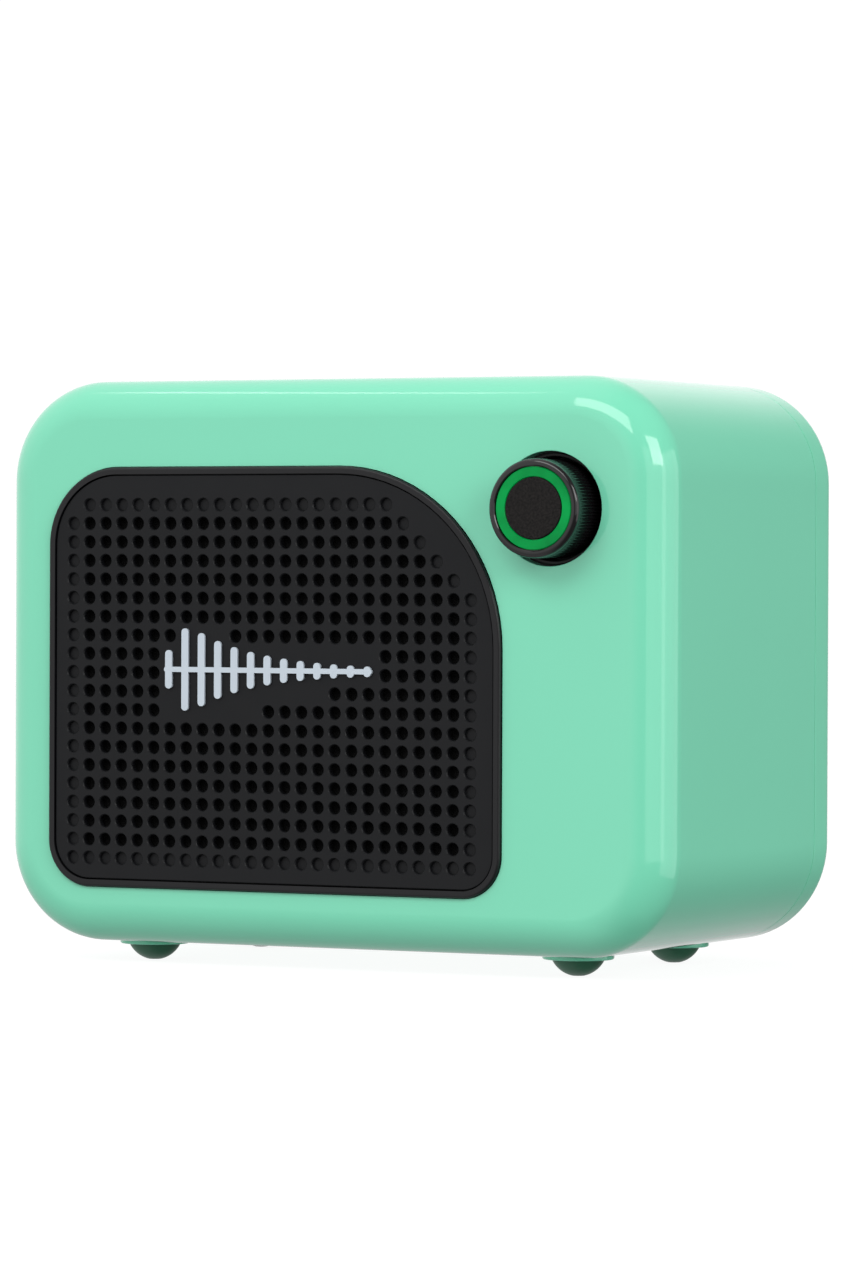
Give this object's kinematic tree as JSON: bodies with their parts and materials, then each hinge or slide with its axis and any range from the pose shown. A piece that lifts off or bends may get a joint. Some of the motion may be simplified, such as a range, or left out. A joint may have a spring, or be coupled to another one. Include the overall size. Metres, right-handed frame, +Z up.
{
  "type": "guitar practice amplifier",
  "caption": "Small desktop guitar practice amplifier: rounded glossy housing, perforated grille, push-and-turn knob, rear sockets, rubber feet.",
  "frame": {"origin": "middle of the base, on the surface that the four feet stand on", "axes": "+X to the right seen from the front, +Y to the back, +Z up"},
  "size_m": [0.143, 0.0866, 0.113],
  "materials": {
    "shell": "gloss",
    "grille": "satin",
    "rim": "satin",
    "emblem": "satin",
    "cloth": "woven",
    "foot": "matte",
    "steel": "satin",
    "black_screw": "satin",
    "basket": "satin",
    "soft_rubber": "matte",
    "cone": "matte",
    "copper": "satin",
    "spider_cloth": "woven",
    "ferrite": "matte",
    "knob": "gloss",
    "knob_disc": "grained",
    "light": "translucent",
    "circuit": "satin",
    "black_plastic": "satin",
    "chip": "matte",
    "cell_wrap": "gloss"
  },
  "bodies": {
    "housing": {"front_shell": "shell", "rear_cover": "shell", "grille_trim_ring": "rim", "grille_panel": "grille", "dust_cloth": "cloth", "grille_emblem": "emblem", "rear_cover_screw_1": "black_screw", "rear_cover_screw_2": "black_screw", "rear_cover_screw_3": "black_screw", "rear_cover_screw_4": "black_screw", "foot_front_left": "foot", "foot_rear_left": "foot", "foot_front_right": "foot", "foot_rear_right": "foot", "speaker_gasket": "soft_rubber", "speaker_surround": "soft_rubber", "speaker_spider": "spider_cloth", "speaker_basket": "basket", "speaker_top_plate": "steel", "speaker_magnet": "ferrite", "speaker_yoke": "steel", "speaker_screw_1": "steel", "speaker_screw_2": "steel", "speaker_screw_3": "steel", "speaker_screw_4": "steel", "knob_well": "black_plastic", "encoder_body": "steel", "encoder_nut": "steel", "encoder_board": "circuit", "main_board": "circuit", "main_board_screw_1": "steel", "main_board_screw_2": "steel", "main_board_screw_3": "steel", "main_board_screw_4": "steel", "amplifier_chip": "chip", "input_jack": "black_plastic", "input_jack_bushing": "steel", "input_jack_nut": "steel", "headphone_jack": "black_plastic", "usb_port": "steel", "power_switch_body": "steel", "battery_cradle": "black_plastic", "battery_cell": "cell_wrap", "radiator_ring": "basket", "radiator_surround": "soft_rubber"},
    "speaker_diaphragm": {"speaker_cone": "cone", "speaker_dust_cap": "cone", "speaker_voice_coil": "copper"},
    "radiator_diaphragm": {"radiator_plate": "cone"},
    "knob_stem": {"encoder_switch_pin": "black_plastic"},
    "knob": {"knob_body": "knob", "knob_light_ring": "light", "knob_centre_disc": "knob_disc", "encoder_shaft": "steel"},
    "switch_slider": {"power_switch_slider": "black_plastic"}
  },
  "joints": [
    {"name": "knob_press", "type": "slide", "parent": "housing", "child": "knob_stem", "axis": [0, 1, 0], "range_m": [0, 0.0006], "stiffness_N_per_m": 3000, "springref_m": -0.0003},
    {"name": "knob_turn", "type": "hinge", "parent": "knob_stem", "child": "knob", "pos_m": [0.0478, -0.0344, 0.088], "axis": [0, 1, 0], "continuous": true},
    {"name": "speaker_excursion", "type": "slide", "parent": "housing", "child": "speaker_diaphragm", "axis": [0, -1, 0], "range_m": [-0.0015, 0.0015], "stiffness_N_per_m": 1200, "deforming": ["speaker_surround", "speaker_spider"]},
    {"name": "radiator_excursion", "type": "slide", "parent": "housing", "child": "radiator_diaphragm", "axis": [0, -1, 0], "range_m": [-0.0015, 0.0015], "stiffness_N_per_m": 800, "deforming": ["radiator_surround"]},
    {"name": "power_switch", "type": "slide", "parent": "housing", "child": "switch_slider", "axis": [1, 0, 0], "range_m": [0, 0.003]}
  ]
}
